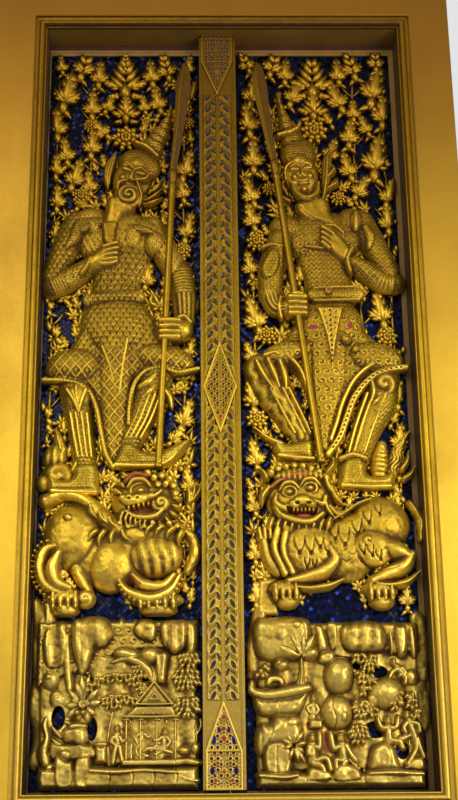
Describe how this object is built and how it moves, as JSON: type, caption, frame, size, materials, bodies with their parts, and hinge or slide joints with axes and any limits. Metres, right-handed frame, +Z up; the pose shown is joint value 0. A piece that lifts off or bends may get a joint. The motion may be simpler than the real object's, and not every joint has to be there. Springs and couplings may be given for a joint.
{
  "type": "carved double door",
  "caption": "Double-leaf temple door in a moulded gilded frame, with carved guardians, lions, foliage and garden scenes over a dark mirror-mosaic ground and a carved cover batten.",
  "frame": {"origin": "on the underside of the frame, in the middle of its width and of its depth", "axes": "+X to the right as one faces the carved front, +Y inward, the way the leaves open, +Z up; the carved front faces -Y"},
  "size_m": [1.55, 0.19, 2.873],
  "materials": {
    "gilded_casing": "gilded wood, worn and uneven",
    "gilded_moulding": "gilded wood, satin",
    "frame_timber": "dark brown lacquered timber",
    "leaf_board": "dark red-brown lacquered timber",
    "mirror_mosaic": "small dark blue mirror-glass tiles",
    "border_lacquer": "dull gold over dark red lacquer",
    "gilded_foliage": "gilded carved wood",
    "gilded_carving": "gilded carved wood, darker in the recesses",
    "gilded_halberd": "gilded carved wood",
    "gilded_astragal": "gilded carved wood with small glass inlays",
    "pivot_iron": "dark iron"
  },
  "bodies": {
    "frame": {"casing_left": "gilded_casing", "casing_right": "gilded_casing", "casing_top": "gilded_casing", "casing_bottom": "gilded_casing", "moulding_left": "gilded_moulding", "moulding_right": "gilded_moulding", "moulding_top": "gilded_moulding", "moulding_bottom": "gilded_moulding", "jamb_left": "frame_timber", "jamb_right": "frame_timber", "head": "frame_timber", "threshold": "frame_timber", "socket_left_top": "pivot_iron", "socket_left_bottom": "pivot_iron", "socket_right_top": "pivot_iron", "socket_right_bottom": "pivot_iron"},
    "left_door_leaf": {"left_leaf": "leaf_board", "left_mosaic": "mirror_mosaic", "left_border": "border_lacquer", "left_screen": "gilded_foliage", "left_guardian": "gilded_carving", "left_halberd_shaft": "gilded_halberd", "left_halberd_blade": "gilded_halberd", "left_lion": "gilded_carving", "left_rocks": "gilded_carving", "left_garden": "gilded_carving", "left_figures": "gilded_carving", "left_pivot_top": "pivot_iron", "left_pivot_bottom": "pivot_iron", "pavilion": "gilded_carving", "astragal": "gilded_astragal", "astragal_scroll": "gilded_foliage", "astragal_top_panel": "gilded_astragal", "astragal_lozenge": "gilded_astragal", "astragal_bottom_panel": "gilded_astragal"},
    "right_door_leaf": {"right_leaf": "leaf_board", "right_mosaic": "mirror_mosaic", "right_border": "border_lacquer", "right_screen": "gilded_foliage", "right_guardian": "gilded_carving", "right_halberd_shaft": "gilded_halberd", "right_halberd_blade": "gilded_halberd", "right_lion": "gilded_carving", "right_rocks": "gilded_carving", "right_garden": "gilded_carving", "right_figures": "gilded_carving", "right_pivot_top": "pivot_iron", "right_pivot_bottom": "pivot_iron"}
  },
  "joints": [
    {"name": "right_hinge", "type": "hinge", "parent": "frame", "child": "right_door_leaf", "pos_m": [0.5945, 0.0615, 0.155], "axis": [0, 0, -1], "range_deg": [0, 92]},
    {"name": "left_hinge", "type": "hinge", "parent": "frame", "child": "left_door_leaf", "pos_m": [-0.5945, 0.0615, 0.155], "axis": [0, 0, 1], "range_deg": [0, 90]}
  ],
  "couplings": [
    {"joint": "left_hinge", "follows": "right_hinge", "ratio": 0.8}
  ]
}
